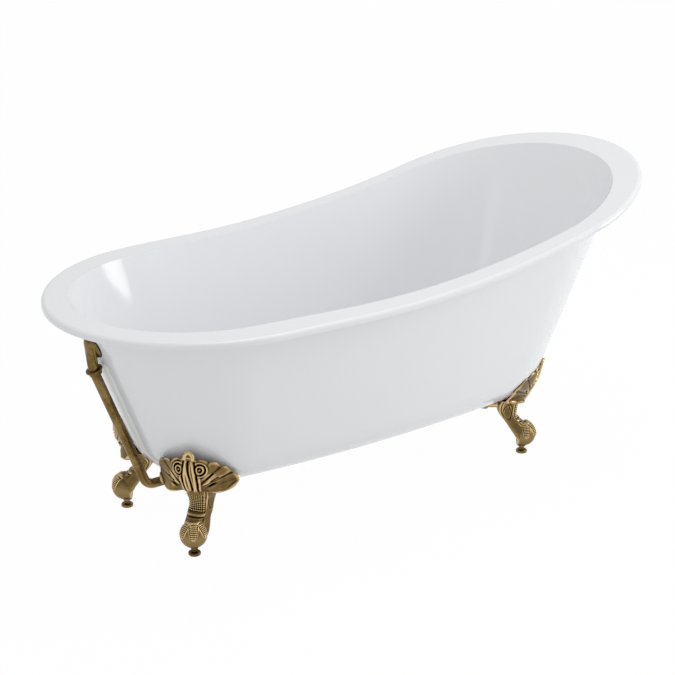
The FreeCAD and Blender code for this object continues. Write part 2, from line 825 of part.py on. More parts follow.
# elbow: (distance out from the wall, distance down along it, outer radius)
ELBOW = (
    (3.0, -3.0, 21.0),
    (9.0, 1.0, 19.0),
    (14.0, 14.0, 15.5),
    (19.5, 29.0, 12.4),
    (23.0, 41.0, 12.4),
)
ELBOW_SIDES = 16


def waterway(points, radius):
    """A round passage through a casting: straight drilled runs that meet at their ends."""
    runs = [(start, end - start) for start, end in zip(points, points[1:])]
    drilled = [Part.makeCylinder(radius, run.Length, start, run) for start, run in runs]
    return drilled[0].multiFuse(drilled[1:])


def overflow_elbow():
    """The cast elbow: flange on the wall, hooded bend, spigot end for the slip nut, bridge for the screw."""
    radius = num("elbow_end_radius")
    points = [off_wall(out, down) for out, down, r in ELBOW]
    hood = ridge(points, [r for out, down, r in ELBOW], Vector(0, 1, 0), ELBOW_SIDES)
    end = off_wall(num("pipe_wall_offset"), num("elbow_drop"))
    spigot = Part.makeCylinder(radius, (end - points[-1]).Length, points[-1], -UP_WALL)
    start = GASKET_FACE
    mouth = start + num("elbow_mouth_depth")
    flange = bore_out(num("overflow_flange_radius"), start, start + num("overflow_flange_thickness"))
    solid = flange.fuse(hood).fuse(spigot)
    beyond = end - UP_WALL * radius
    solid = solid.cut(waterway(points + [beyond], radius - num("elbow_wall")))
    solid = solid.cut(bore_out(num("overflow_hole_radius") - 1.0, start - CLEAR, mouth))
    solid = solid.cut(bore_out(num("overflow_flange_radius") * 2.0, start - CLEAR, start))
    half_span = num("overflow_hole_radius")
    width = num("overflow_bridge_width")
    bridge = Part.makeBox(width, 2.0 * half_span, num("overflow_flange_thickness"))
    corner = off_wall(start) - UP_WALL * (width / 2.0) - Vector(0, half_span, 0)
    bridge.Placement = Placement(corner, OVERFLOW_TURN)
    solid = solid.fuse(bridge)
    return solid.cut(bore_out(num("overflow_screw_radius") + num("thread_fit"), start - CLEAR, mouth))


def pipe_route():
    """The overflow pipe's middle line: down along the wall, one bend, then level to the waste."""
    top = off_wall(num("pipe_wall_offset"), num("elbow_drop"))
    down = -UP_WALL
    corner = top + down * ((top.z - num("pipe_low_height")) / -down.z)
    socket_end = num("drain_x") - num("waste_inlet_reach") + num("waste_socket_depth")
    end = Vector(socket_end, 0, num("pipe_low_height"))
    level = Vector(1, 0, 0)
    turn = math.acos(down.dot(level))
    cut_back = num("pipe_bend_radius") * math.tan(turn / 2.0)
    before = corner - down * cut_back
    after = corner + level * cut_back
    inward = (level - down).normalize()
    centre = corner + inward * (num("pipe_bend_radius") / math.cos(turn / 2.0))
    middle = centre - inward * num("pipe_bend_radius")
    return [
        Part.LineSegment(top, before).toShape(),
        Part.Arc(before, middle, after).toShape(),
        Part.LineSegment(after, end).toShape(),
    ]


def overflow_pipe():
    """The bent tube between the overflow elbow and the waste."""
    route = Part.Wire(pipe_route())
    top = off_wall(num("pipe_wall_offset"), num("elbow_drop"))
    tubes = []
    for radius in (num("pipe_radius"), num("pipe_radius") - num("pipe_wall")):
        circle = Part.Wire([Part.Circle(top, -UP_WALL, radius).toShape()])
        tubes.append(route.makePipeShell([circle], True, False))
    return tubes[0].cut(tubes[1])


PIPE_TURN = Rotation(Vector(0, 0, 1), -UP_WALL)

seal = turned(
    "overflow_gasket",
    ring_points(
        size("overflow_hole_radius"),
        size("overflow_flange_radius"),
        size("overflow_gasket_thickness"),
    ),
)
seat = off_wall(-num("overflow_spot_depth"))
place(seal, seat.x, seat.y, seat.z, OVERFLOW_TURN)
shaped("overflow_elbow", overflow_elbow(), Placement(OVERFLOW_POINT, OVERFLOW_TURN))
collar = turned(
    "overflow_slip_nut",
    [
        (size("elbow_end_radius") + size("slip_fit"), ZERO),
        (size("collar_radius"), ZERO),
        (size("collar_radius"), size("collar_ring_height")),
        (size("collar_neck_radius"), size("collar_ring_height")),
        (size("collar_neck_radius"), size("collar_length")),
        (size("pipe_radius") + size("slip_fit"), size("collar_length")),
        (size("pipe_radius") + size("slip_fit"), size("collar_overlap")),
        (size("elbow_end_radius") + size("slip_fit"), size("collar_overlap")),
    ],
)
seat = off_wall(num("pipe_wall_offset"), num("elbow_drop") - num("collar_overlap"))
place(collar, seat.x, seat.y, seat.z, PIPE_TURN)
shaped("overflow_pipe", overflow_pipe())

inner_seal = turned(
    "overflow_seal",
    ring_points(
        size("overflow_hole_radius"),
        size("overflow_plate_radius") - size("overflow_plate_bevel"),
        size("overflow_seal_thickness"),
    ),
)
seat = off_wall(INNER_FACE - num("overflow_seal_thickness"))
place(inner_seal, seat.x, seat.y, seat.z, OVERFLOW_TURN)


PLATE_HOLE_TURNS = (0.0, 60.0, 120.0, 180.0, 240.0, 300.0)


def overflow_plate():
    """The face plate inside the bowl, with a ring of round holes for the water."""
    face = INNER_FACE - num("overflow_seal_thickness")
    back = face - num("overflow_plate_thickness")
    radius, bevel = num("overflow_plate_radius"), num("overflow_plate_bevel")
    plate = bore_out(radius, back + bevel, face)
    plate = plate.fuse(Part.makeCone(radius - bevel, radius, bevel, off_wall(back), WALL_NORMAL))
    for turn in PLATE_HOLE_TURNS:
        spoke = Rotation(WALL_NORMAL, turn).multVec(UP_WALL) * num("overflow_plate_hole_circle")
        start = off_wall(-CLEAR) + spoke
        hole = Part.makeCylinder(num("overflow_plate_hole_radius"), 2.0 * CLEAR, start, WALL_NORMAL)
        plate = plate.cut(hole)
    return plate.cut(bore_out(num("overflow_screw_radius") + num("hole_clearance"), -CLEAR, CLEAR))


shaped("overflow_plate", overflow_plate(), Placement(off_wall(INNER_FACE), OVERFLOW_TURN))

plate_back = INNER_FACE - num("overflow_seal_thickness") - num("overflow_plate_thickness")
trim = size("overflow_plate_thickness") + size("overflow_seal_thickness")
screw_length = trim + size("wall") + size("overflow_gasket_thickness")
head_height = size("overflow_screw_head") * 0.5
screw = turned(
    "overflow_screw",
    [
        (ZERO, ZERO),
        (size("overflow_screw_crown"), ZERO),
        (size("overflow_screw_head"), head_height),
        (size("overflow_screw_radius"), head_height),
        (size("overflow_screw_radius"), head_height + screw_length),
        (ZERO, head_height + screw_length),
    ],
)
seat = off_wall(plate_back - head_height.value)
place(screw, seat.x, seat.y, seat.z, OVERFLOW_TURN)

# ---------------------------------------------------------------- waste and plug

FLANGE_BASE = num("drain_seat_height") + num("drain_seal_thickness")
GASKET_BASE = num("drain_spot_height") - num("waste_gasket_thickness")


def drain_flange():
    """The waste's flange and threaded tail, with crossed bars and a hub that guides the plug."""
    top = FLANGE_BASE + num("drain_flange_thickness")
    radius, bevel = num("drain_flange_radius"), num("drain_flange_bevel")
    shoulder = Vector(num("drain_x"), 0, top - bevel)
    solid = upright(radius, FLANGE_BASE, top - bevel)
    solid = solid.fuse(Part.makeCone(radius, radius - bevel, bevel, shoulder, UP))
    solid = solid.fuse(upright(num("drain_tail_radius"), num("drain_tail_bottom"), FLANGE_BASE))
    solid = solid.cut(upright(num("drain_bore_radius"), num("drain_tail_bottom") - CLEAR, top + CLEAR))
    reach = num("drain_bore_radius") + 1.0
    width = num("drain_bar_width")
    low = FLANGE_BASE - num("drain_bar_height")
    for quarter in (0.0, 90.0):
        bar = Part.makeBox(2.0 * reach, width, num("drain_bar_height"), Vector(-reach, -width / 2.0, 0))
        bar.Placement = Placement(Vector(num("drain_x"), 0, low), Rotation(UP, quarter))
        solid = solid.fuse(bar)
    solid = solid.fuse(upright(num("drain_hub_radius"), low, FLANGE_BASE))
    return solid.cut(upright(num("plug_stem_radius") + num("thread_fit"), low - CLEAR, top + CLEAR))


def waste_body():
    """The waste's body under the bowl: top flange, inlet from the overflow, outlet spigot."""
    top = GASKET_BASE
    solid = upright(num("waste_flange_radius"), top - num("waste_flange_thickness"), top)
    solid = solid.fuse(upright(num("waste_body_radius"), num("waste_body_bottom"), top))
    floor = num("waste_body_bottom") + num("waste_body_floor")
    solid = solid.fuse(upright(num("waste_outlet_radius"), num("waste_outlet_bottom"), floor))
    along = Vector(1, 0, 0)
    start = Vector(num("drain_x") - num("waste_inlet_reach"), 0, num("pipe_low_height"))
    reach = num("waste_inlet_reach") - num("waste_inlet_radius")
    solid = solid.fuse(Part.makeCylinder(num("waste_inlet_radius"), reach, start, along))
    thread = num("drain_tail_radius") + num("thread_fit")
    solid = solid.cut(upright(thread, floor, top + CLEAR))
    solid = solid.cut(upright(num("waste_outlet_bore"), num("waste_outlet_bottom") - CLEAR, top))
    socket = num("pipe_radius") + num("slip_fit")
    solid = solid.cut(Part.makeCylinder(socket, num("waste_socket_depth"), start, along))
    return solid.cut(Part.makeCylinder(num("waste_inlet_bore"), num("waste_inlet_reach"), start, along))


shaped("drain_flange", drain_flange(), Placement(Vector(num("drain_x"), 0, FLANGE_BASE), Rotation()))
shaped("waste_body", waste_body(), Placement(Vector(num("drain_x"), 0, GASKET_BASE), Rotation()))

seal = turned(
    "drain_seal",
    ring_points(
        size("drain_tail_radius") + size("hole_clearance"),
        size("drain_flange_radius") - size("drain_seal_thickness"),
        size("drain_seal_thickness"),
    ),
)
place(seal, size("drain_x"), ZERO, size("drain_seat_height"))
seal = turned(
    "waste_gasket",
    ring_points(
        size("drain_tail_radius") + size("hole_clearance"),
        size("waste_flange_radius"),
        size("waste_gasket_thickness"),
    ),
)
place(seal, size("drain_x"), ZERO, size("drain_spot_height") - size("waste_gasket_thickness"))
nut = turned(
    "waste_slip_nut",
    [
        (size("pipe_radius") + size("slip_fit"), ZERO),
        (size("waste_nut_radius"), ZERO),
        (size("waste_nut_radius"), size("waste_nut_length")),
        (size("waste_inlet_radius") + size("slip_fit"), size("waste_nut_length")),
        (size("waste_inlet_radius") + size("slip_fit"), size("waste_nut_length") - size("waste_nut_overlap")),
        (size("pipe_radius") + size("slip_fit"), size("waste_nut_length") - size("waste_nut_overlap")),
    ],
)
place(
    nut,
    size("drain_x") - size("waste_inlet_reach") - size("waste_nut_length") + size("waste_nut_overlap"),
    ZERO,
    size("pipe_low_height"),
    Rotation(UP, Vector(1, 0, 0)),
)

flange_top = size("drain_seat_height") + size("drain_seal_thickness") + size("drain_flange_thickness")
seal = turned(
    "plug_seal",
    ring_points(
        size("drain_bore_radius") + size("plug_seal_inset"),
        size("plug_radius") - size("plug_seal_inset"),
        size("plug_seal_thickness"),
    ),
)
place(seal, size("drain_x"), ZERO, flange_top)
stem = flange_top + size("plug_seal_thickness") - size("plug_stem_bottom")
plug = turned(
    "drain_plug",
    [
        (ZERO, ZERO),
        (size("plug_stem_radius"), ZERO),
        (size("plug_stem_radius"), stem),
        (size("plug_radius"), stem),
        (size("plug_radius"), stem + size("plug_thickness") * 0.4),
        (size("plug_radius") * 0.8, stem + size("plug_thickness") * 0.85),
        (size("plug_radius") * 0.4, stem + size("plug_thickness")),
        (ZERO, stem + size("plug_thickness")),
    ],
)
place(plug, size("drain_x"), ZERO, size("plug_stem_bottom"))

# ---------------------------------------------------------------- check and write

NODE_NAMES = (
    ["tub_shell"]
    + [
        f"{piece}_{foot.name}"
        for piece in ("claw_foot", "foot_bolt", "foot_washer", "jam_nut", "levelling_screw", "levelling_pad")
        for foot in FEET
    ]
    + ["overflow_gasket", "overflow_elbow", "overflow_slip_nut", "overflow_pipe"]
    + ["overflow_seal", "overflow_plate", "overflow_screw"]
    + ["drain_flange", "drain_seal", "waste_gasket", "waste_body", "waste_slip_nut"]
    + ["drain_plug", "plug_seal"]
)

doc.recompute()
for item in doc.Objects:
    if "Invalid" in item.State or "Error" in item.State:
        raise RuntimeError(f"{item.Label} did not build: {item.State}")
nodes = [doc.getObjectsByLabel(name)[0] for name in NODE_NAMES]
for node in nodes:
    if node.Shape.isNull() or not node.Shape.isValid():
        raise RuntimeError(f"{node.Label} has no valid shape")

os.makedirs("parts", exist_ok=True)
for node in nodes:
    node.Shape.exportStep(f"parts/{node.Label}.step")
    print(node.Label, len(node.Shape.Solids), round(node.Shape.Volume))
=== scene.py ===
import json
import math

import bmesh
import bpy
import numpy as np
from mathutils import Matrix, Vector
from mathutils.bvhtree import BVHTree


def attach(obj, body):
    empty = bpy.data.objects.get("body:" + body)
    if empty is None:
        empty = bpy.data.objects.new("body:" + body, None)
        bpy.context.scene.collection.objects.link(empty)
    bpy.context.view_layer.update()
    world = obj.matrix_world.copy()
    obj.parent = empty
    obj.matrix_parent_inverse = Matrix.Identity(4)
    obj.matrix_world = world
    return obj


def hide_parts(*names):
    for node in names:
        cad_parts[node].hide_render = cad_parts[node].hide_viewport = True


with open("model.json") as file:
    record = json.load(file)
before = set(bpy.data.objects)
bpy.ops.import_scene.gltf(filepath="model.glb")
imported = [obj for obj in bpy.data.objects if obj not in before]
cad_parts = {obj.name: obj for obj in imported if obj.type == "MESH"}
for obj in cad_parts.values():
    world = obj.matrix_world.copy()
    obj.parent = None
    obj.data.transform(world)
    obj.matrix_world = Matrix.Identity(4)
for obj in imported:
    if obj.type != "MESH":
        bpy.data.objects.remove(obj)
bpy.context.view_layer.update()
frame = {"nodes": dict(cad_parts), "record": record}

# Slipper bath on claw feet: enamelled bowl, antique brass feet, exposed overflow.
# The scene is in metres. Castings are worked out in millimetres and scaled as they are laid.

MM = 0.001


# ---------------------------------------------------------------- finishes


class Value:
    """One output of a node; sums on it add Math nodes."""

    def __init__(self, nodes, socket):
        self.nodes = nodes
        self.socket = socket

    def math(self, operation, *terms):
        return self.nodes.node("ShaderNodeMath", {"operation": operation}, dict(enumerate(terms)))

    def __add__(self, other):
        return self.math("ADD", self, other)

    def __radd__(self, other):
        return self.math("ADD", other, self)

    def __sub__(self, other):
        return self.math("SUBTRACT", self, other)

    def __rsub__(self, other):
        return self.math("SUBTRACT", other, self)

    def __mul__(self, other):
        return self.math("MULTIPLY", self, other)

    def ramp(self, low, high, start=0.0, end=1.0):
        """The value carried smoothly from one pair of ends to another."""
        ends = {0: self, 1: low, 2: high, 3: start, 4: end}
        return self.nodes.node("ShaderNodeMapRange", {"interpolation_type": "SMOOTHSTEP"}, ends)


class Nodes:
    """The nodes of a finish, or of the studio's fill."""

    def __init__(self, tree):
        self.tree = tree
        self.tree.nodes.clear()

    def feed(self, node, sockets):
        for key, value in sockets.items():
            if isinstance(value, Value):
                self.tree.links.new(value.socket, node.inputs[key])
            else:
                node.inputs[key].default_value = value

    def node(self, kind, settings=None, sockets=None, output=0):
        """Any node: its settings first, then its sockets' values or links."""
        made = self.tree.nodes.new(kind)
        for key, value in (settings or {}).items():
            setattr(made, key, value)
        self.feed(made, sockets or {})
        return Value(self, made.outputs[output])

    def seen_by(self, *rays):
        """1 for a ray of any of these kinds, else 0."""
        share = self.node("ShaderNodeLightPath", output=rays[0])
        for ray in rays[1:]:
            share = share.math("MAXIMUM", share, self.node("ShaderNodeLightPath", output=ray))
        return share


class Finish(Nodes):
    """A material of the bath, built round one Principled surface."""

    def __init__(self, name, **sockets):
        self.material = bpy.data.materials.new(name)
        self.material.use_nodes = True
        super().__init__(self.material.node_tree)
        self.output = self.tree.nodes.new("ShaderNodeOutputMaterial")
        self.skin = self.tree.nodes.new("ShaderNodeBsdfPrincipled")
        self.surfaced(Value(self, self.skin.outputs[0]))
        self.feed(self.skin, sockets)

    def surfaced(self, shader):
        self.feed(self.output, {"Surface": shader})

    def place(self):
        return self.node("ShaderNodeTexCoord", output="Object")

    def noise(self, scale, detail, roughness=0.5, at=None):
        sockets = {"Vector": at or self.place(), "Scale": scale, "Detail": detail, "Roughness": roughness}
        return self.node("ShaderNodeTexNoise", {}, sockets, "Fac")

    def stretched(self, along):
        """Places squeezed across a direction, for streaks that run along it."""
        return self.node("ShaderNodeMapping", {}, {"Vector": self.place(), "Scale": along})

    def blend(self, share, low, high):
        """A colour between two others."""
        settings = {"data_type": "RGBA"}
        return self.node("ShaderNodeMix", settings, {0: share, 6: low, 7: high}, 2)

    def bumped(self, height, distance, strength):
        sockets = {"Height": height, "Distance": distance, "Strength": strength}
        return self.node("ShaderNodeBump", {}, sockets)

    def shade_and_wear(self):
        """How proud a casting's skin stands: 0 deep in the carving, 1 on its crests; it lays patina with
        painted shade in the hollows and rubbing with a painted highlight on the crests.
        """
        return self.node("ShaderNodeAttribute", {"attribute_name": "proud"}, {}, "Fac")

    def set(self, **sockets):
        names = {key.replace("_", " "): value for key, value in sockets.items()}
        self.feed(self.skin, names)
        return self.material


def rgb(red, green, blue):
    return (red, green, blue, 1.0)


ENAMEL_SHADE, ENAMEL_LIGHT = rgb(0.80, 0.807, 0.82), rgb(0.83, 0.835, 0.845)
# the darkest brass is patina with painted shade, the brightest is rubbed brass with a painted highlight
BLACKENED_AND_SHADED, PATINA, RUBBED_AND_HIGHLIT = rgb(0.010, 0.005, 0.0015), rgb(0.185, 0.120, 0.042), rgb(0.68, 0.50, 0.25)
BRASS_SHADE, BRASS_LIGHT = rgb(0.115, 0.070, 0.020), rgb(0.27, 0.180, 0.070)
ZINC_SHADE, ZINC_LIGHT = rgb(0.42, 0.43, 0.44), rgb(0.60, 0.60, 0.58)
RUBBER_SHADE, RUBBER_LIGHT = rgb(0.012, 0.012, 0.012), rgb(0.028, 0.028, 0.03)
STUDIO_WHITE, STUDIO_PAPER, STUDIO_FILL = rgb(1.0, 1.0, 1.0), rgb(0.93, 0.93, 0.93), rgb(0.97, 0.985, 1.0)


def white_enamel():
    """Vitreous enamel: glass-smooth, with the faint roll that firing leaves in it."""
    finish = Finish("white_enamel")
    roll = finish.noise(9.0, 2.0)
    return finish.set(
        Base_Color=finish.blend(finish.noise(3.0, 3.0), ENAMEL_SHADE, ENAMEL_LIGHT),
        Roughness=roll.ramp(0.3, 0.7, 0.10, 0.15),
        Normal=finish.bumped(roll, 0.002, 0.06),
        IOR=1.52,
    )


def antique_casting():
    """Cast brass finish: blackened patina with painted shade in the carving, rubbed bright with a painted
    highlight on the crests.
    """
    finish = Finish("antique_brass_casting", Metallic=1.0)
    proud = finish.shade_and_wear()
    patches = finish.noise(45.0, 5.0, 0.6)
    grit = finish.noise(900.0, 3.0)
    # painted shade deepens the hollows and a painted highlight brightens the crests, over the real patina
    # and rubbing
    shade = (proud + patches * 0.22 - 0.11).ramp(0.26, 0.56)
    rub_and_highlight = (proud + grit * 0.08).ramp(0.56, 0.86)
    return finish.set(
        Base_Color=finish.blend(rub_and_highlight, finish.blend(shade, BLACKENED_AND_SHADED, PATINA), RUBBED_AND_HIGHLIT),
        Roughness=0.36 - rub_and_highlight * 0.10 + patches * 0.08,
        Normal=finish.bumped(grit + patches * 2.0, 0.0005, 0.25),
    )


def antique_brass():
    """Turned and drawn brass with a satin, hand-relieved patina."""
    finish = Finish("antique_brass", Metallic=1.0)
    streaks = finish.noise(160.0, 3.0, 0.5, finish.stretched((1.0, 8.0, 0.6)))
    patches = finish.noise(22.0, 4.0, 0.55)
    share = (streaks * 0.5 + patches * 0.5).ramp(0.36, 0.64)
    return finish.set(
        Base_Color=finish.blend(share, BRASS_SHADE, BRASS_LIGHT),
        Roughness=0.22 + patches * 0.12,
        Normal=finish.bumped(streaks, 0.0004, 0.12),
    )


def zinc_steel():
    """Zinc plating with a fine spangle."""
    finish = Finish("zinc_steel", Metallic=1.0)
    spangle = finish.noise(240.0, 3.0)
    return finish.set(
        Base_Color=finish.blend(spangle, ZINC_SHADE, ZINC_LIGHT),
        Roughness=0.36 + spangle * 0.12,
        Normal=finish.bumped(spangle, 0.0003, 0.1),
    )


def black_rubber():
    """Moulded rubber with a dull grain."""
    finish = Finish("black_rubber")
    grain = finish.noise(700.0, 3.0)
    return finish.set(
        Base_Color=finish.blend(grain, RUBBER_SHADE, RUBBER_LIGHT),
        Roughness=0.62 + grain * 0.16,
        Normal=finish.bumped(grain, 0.0004, 0.2),
    )


FINISHES = {
    "white_enamel": white_enamel(),
    "antique_brass_casting": antique_casting(),
    "antique_brass": antique_brass(),
    "zinc_steel": zinc_steel(),
    "black_rubber": black_rubber(),
}

for part in frame["record"]["subparts"]:
    piece = frame["nodes"][part["node"]]
    piece.data.materials.clear()
    piece.data.materials.append(FINISHES[part["material_slot"]])


# ---------------------------------------------------------------- ways of making a piece


def smoothly(low, high, x):
    """0 at low and 1 at high, eased at both ends; low may be the greater."""
    share = min(max((x - low) / (high - low), 0.0), 1.0)
    return share * share * (3.0 - 2.0 * share)


def hump(distance, width):
    """1 in the middle of a ridge or groove, falling away on both sides."""
    return math.exp(-((distance / width) ** 2))


def drawn(stations, x):
    """A flowing line through stations (x, value), read off at x."""
    if x <= stations[0][0]:
        return stations[0][1]
    if x >= stations[-1][0]:
        return stations[-1][1]
    i = next(k for k in range(len(stations) - 1) if x <= stations[k + 1][0])
    (x0, y0), (x1, y1) = stations[i], stations[i + 1]
    before = stations[max(i - 1, 0)]
    after = stations[min(i + 2, len(stations) - 1)]
    t = (x - x0) / (x1 - x0)
    m0 = (y1 - before[1]) / (x1 - before[0]) * (x1 - x0)
    m1 = (after[1] - y0) / (after[0] - x0) * (x1 - x0)
    return (
        (2 * t**3 - 3 * t**2 + 1) * y0 + (t**3 - 2 * t**2 + t) * m0
        + (3 * t**2 - 2 * t**3) * y1 + (t**3 - t**2) * m1
    )


def averaged(points, reach):
    """The grid of points averaged over its neighbours, from row to row and then round the rows."""
    span = 2 * reach + 1
    for axis, ends in ((0, "edge"), (1, "wrap")):
        width = [(0, 0), (0, 0), (0, 0)]
        width[axis] = (reach, reach)
        padded = np.pad(points, width, ends)
        total = np.zeros_like(points)
        for k in range(span):
            total += padded.take(range(k, k + points.shape[axis]), axis)
        points = total / span
    return points


class Casting:
    """Skins of one casting, gathered in millimetres with how proud each point stands."""

    def __init__(self):
        self.points = []
        self.proud = []
        self.faces = []

    def skin(self, rows, reach=4, depth=1.1, capped=True, shade_shift=0.0):
        """Adds a skin through rings of points; capped closes its two ends; the last setting makes the
        whole skin darker, as painted shade.
        """
        grid = np.array([[tuple(p) for p in row] for row in rows])
        count, width = grid.shape[:2]
        flat = averaged(grid, reach)
        down = np.gradient(flat, axis=0)
        along = np.gradient(flat, axis=1)
        normal = np.cross(along, down)
        normal /= np.linalg.norm(normal, axis=2, keepdims=True) + 1e-9
        stand = np.sum((grid - flat) * normal, axis=2)
        middle = grid.reshape(-1, 3).mean(axis=0)
        if np.sum((grid - middle) * normal) < 0.0:
            stand = -stand
        start = len(self.points)
        self.points += [Vector(p) for p in grid.reshape(-1, 3)]
        # a negative shift here darkens the whole skin: painted shade on pieces that sit under others
        self.proud += list(np.clip(0.5 + shade_shift + 0.5 * stand.reshape(-1) / depth, 0.0, 1.0))
        for i in range(count - 1):
            for j in range(width):
                a = start + i * width + j
                b = start + i * width + (j + 1) % width
                self.faces.append((a, b, b + width, a + width))
        if capped:
            self.faces.append(tuple(start + j for j in reversed(range(width))))
            self.faces.append(tuple(start + (count - 1) * width + j for j in range(width)))

    def laid(self, name, place, body, slot, node):
        """The casting as a piece of the bath, standing for a CAD node."""
        mesh = bpy.data.meshes.new(name)
        mesh.from_pydata([place(p) for p in self.points], [], self.faces)
        mesh.update()
        proud = mesh.attributes.new("proud", "FLOAT", "POINT")
        proud.data.foreach_set("value", self.proud)
        mesh.polygons.foreach_set("use_smooth", [True] * len(mesh.polygons))
        tidied(mesh)
        piece = bpy.data.objects.new(name, mesh)
        bpy.context.scene.collection.objects.link(piece)
        mesh.materials.append(FINISHES[slot])
        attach(piece, body)
        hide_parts(node)


def tidied(mesh):
    """Turns every skin's faces outward."""
    work = bmesh.new()
    work.from_mesh(mesh)
    bmesh.ops.recalc_face_normals(work, faces=work.faces)
    work.to_mesh(mesh)
    work.free()


def turns(count):
    """Angles evenly spaced round a full turn."""
    return np.linspace(0.0, 2.0 * math.pi, count, endpoint=False)


# a rounded corner takes at most this share of the sides beside it
SIDE_SHARE = 0.45
# a turned piece's radius on its axis
AXIS_RADIUS = 0.01


def rounded(profile, radius, steps=4):
    """A turning profile with every corner between its ends rounded off."""
    points = [Vector(p) for p in profile]
    line = [points[0]]
    for before, corner, after in zip(points, points[1:], points[2:]):
        reach = min(radius, (corner - before).length * SIDE_SHARE, (after - corner).length * SIDE_SHARE)
        start = corner + (before - corner).normalized() * reach
        end = corner + (after - corner).normalized() * reach
        for k in range(steps + 1):
            t = k / steps
            line.append(start * (1 - t) ** 2 + corner * 2 * t * (1 - t) + end * t**2)
    return line + [points[-1]]


def turning(profile, radius, sides=72):
    """Rows of a turned piece about its own Z axis, from (radius, height) corners."""
    rows = []
    for corner, z in rounded(profile, radius):
        r = max(corner, AXIS_RADIUS)
        rows.append([Vector((r * math.cos(a), r * math.sin(a), z)) for a in turns(sides)])
    return rows


def tube(line, radii, sides=28):
    """A round bar bent along a line, with a radius at each of its points."""
    points = [Vector(p) for p in line]
    rows = []
    for i, point in enumerate(points):
        along = (points[min(i + 1, len(points) - 1)] - points[max(i - 1, 0)]).normalized()
        aside = along.cross(Vector((1.0, 0.0, 0.0)))
        aside = aside.normalized() if aside.length > 1e-4 else Vector((0.0, 0.0, 1.0))
        other = along.cross(aside)
        rows.append([point + (aside * math.cos(a) + other * math.sin(a)) * radii[i] for a in turns(sides)])
    return rows


def squared_ring(count, power=3.4, samples=1441):
    """Points evenly spaced round a squared ring, each with the way it faces."""

    def bent(values, by):
        return np.sign(values) * np.abs(values) ** by

    angles = np.linspace(0.0, 2.0 * math.pi, samples)
    x = bent(np.cos(angles), 2.0 / power)
    y = bent(np.sin(angles), 2.0 / power)
    along = np.concatenate(([0.0], np.cumsum(np.hypot(np.diff(x), np.diff(y)))))
    at = np.linspace(0.0, along[-1], count, endpoint=False)
    x, y = np.interp(at, along, x), np.interp(at, along, y)
    facing = np.stack((bent(x, power - 1.0), bent(y, power - 1.0)), axis=1)
    facing /= np.linalg.norm(facing, axis=1, keepdims=True)
    return [(x[i], y[i], facing[i][0], facing[i][1]) for i in range(count)]


# ---------------------------------------------------------------- where the feet stand

TUB = frame["nodes"]["tub_shell"].data
WALL = BVHTree.FromPolygons([v.co.copy() for v in TUB.vertices], [tuple(p.vertices) for p in TUB.polygons])
PAD_LOW_X, PAD_HIGH_X, PAD_Y = -554.4, 408.2, -152.5
FOOT_TURN = math.radians(55.0)

# the bowl: its base at the low end, the fall of its floor, and the bosses that the feet bolt to
BOWL_BASE, FLOOR_FALL, LOW_END = 134.0, 0.01525, -564.0
BOSS_INSET, BOSS_DROP = 98.0, 8.0
# the round edge of its floor: radius, share of it that shows, and where the wall runs straight
EDGE_ROUND, EDGE_SHARE, EDGE_TOP = 73.2, 0.72, 73.0
# the wall is struck at three heights from here up
STRUCK_FROM, STRUCK_STEP = 76.0, 24.0
CLEAR_OF_BATH = 300.0


class FootPlace:
    """Where a near foot stands, and the bowl's wall as the foot meets it."""

    def __init__(self, name, x):
        self.name = name
        end = 1.0 if x > 0 else -1.0
        self.pad = Vector((x, PAD_Y, 0.0))
        self.out = Vector((end * math.sin(FOOT_TURN), -math.cos(FOOT_TURN), 0.0))
        self.across = Vector((-self.out.y, self.out.x, 0.0))
        self.base = BOWL_BASE + (x - LOW_END) * FLOOR_FALL
        self.boss = BOWL_BASE + (x - BOSS_INSET * self.out.x - LOW_END) * FLOOR_FALL - BOSS_DROP
        self.known = {}

    def at(self, point):
        """A foot's (out, across, up) in the bath's own frame, in millimetres."""
        return self.pad + self.out * point[0] + self.across * point[1] + Vector((0.0, 0.0, point[2]))

    def near(self, point):
        return self.at(point) * MM

    def far(self, point):
        near = self.near(point)
        return Vector((near.x, -near.y, near.z))

    def sides(self):
        """Each side of the bath, with the way it lays this foot's points."""
        return (("near", self.near), ("far", self.far))

    def struck(self, across, z):
        """Distance out to the wall, met from outside."""
        start = self.at((CLEAR_OF_BATH, across, z)) * MM
        hit = WALL.ray_cast(start, -self.out)[0]
        return (hit / MM - self.pad).dot(self.out)

    def wall(self, across, z):
        """Distance out to the wall, drawn in below where the floor edge is round."""
        steady = self.base + STRUCK_FROM
        key = round(across, 2)
        if key not in self.known:
            low, middle, high = [self.struck(across, steady + k * STRUCK_STEP) for k in range(3)]
            self.known[key] = (low, (middle - low) / STRUCK_STEP, (high - low) / (2.0 * STRUCK_STEP))
        reach, low_lean, high_lean = self.known[key]
        lean = low_lean if z < steady + STRUCK_STEP else high_lean
        height = z - self.base
        inset = 0.0
        if height < EDGE_TOP:
            chord = math.sqrt(max(EDGE_ROUND**2 - (EDGE_ROUND - height) ** 2, 0.0))
            inset = EDGE_SHARE * (EDGE_ROUND - chord)
        return reach + (z - steady) * lean - inset


# ---------------------------------------------------------------- claw feet

# Sizes of a foot: out from the middle of its pad, across, and up from the floor.

# rings of each skin, and points round a ring
LEG_ROWS, LEG_ROUND = 160, 176
BALL_ROWS, BALL_ROUND = 64, 96
TOE_ROWS, TOE_ROUND = 130, 56
LEAF_ROWS, LEAF_WIDE = 116, 168
KNOB_ROWS, CURL_ROWS = 48, 40

